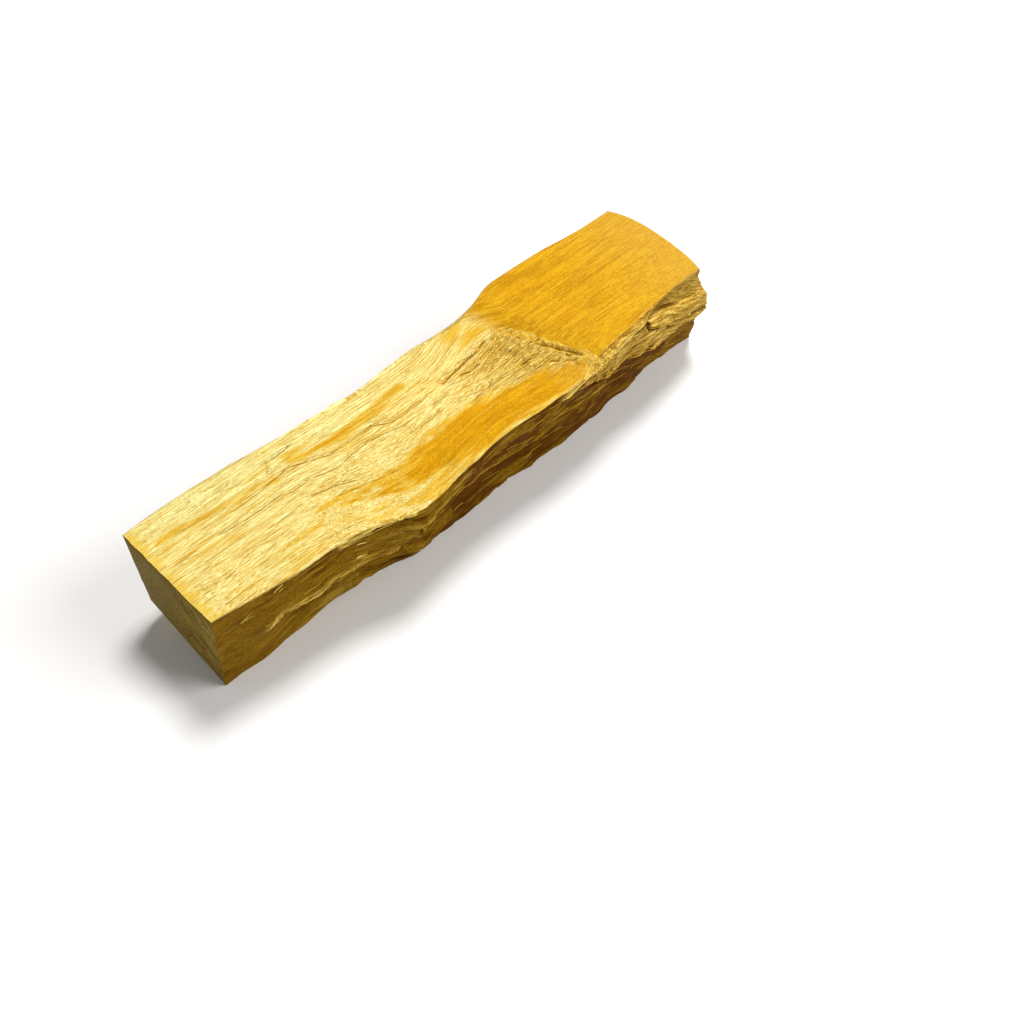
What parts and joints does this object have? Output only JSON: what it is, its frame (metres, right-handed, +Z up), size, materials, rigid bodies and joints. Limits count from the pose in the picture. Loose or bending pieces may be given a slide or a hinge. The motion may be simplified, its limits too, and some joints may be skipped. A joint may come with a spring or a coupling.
{
  "type": "palo santo stick",
  "caption": "Short stick of golden palo santo wood, sawn at its ends, with a split wavy side, a waist, and a torn hollow before its smooth swollen far end.",
  "frame": {"origin": "under the middle of the stick, on the surface that it rests on", "axes": "+X along the stick from its sawn near end to its swollen far end, +Y towards the cleaner split side, -Y towards the torn wavy side, +Z up"},
  "size_m": [0.1012, 0.0258, 0.018],
  "materials": {
    "golden_wood": "raw split and sawn golden wood, dry and slightly resinous, with fine long grain"
  },
  "bodies": {
    "root": {"stick": "golden_wood"}
  },
  "joints": []
}
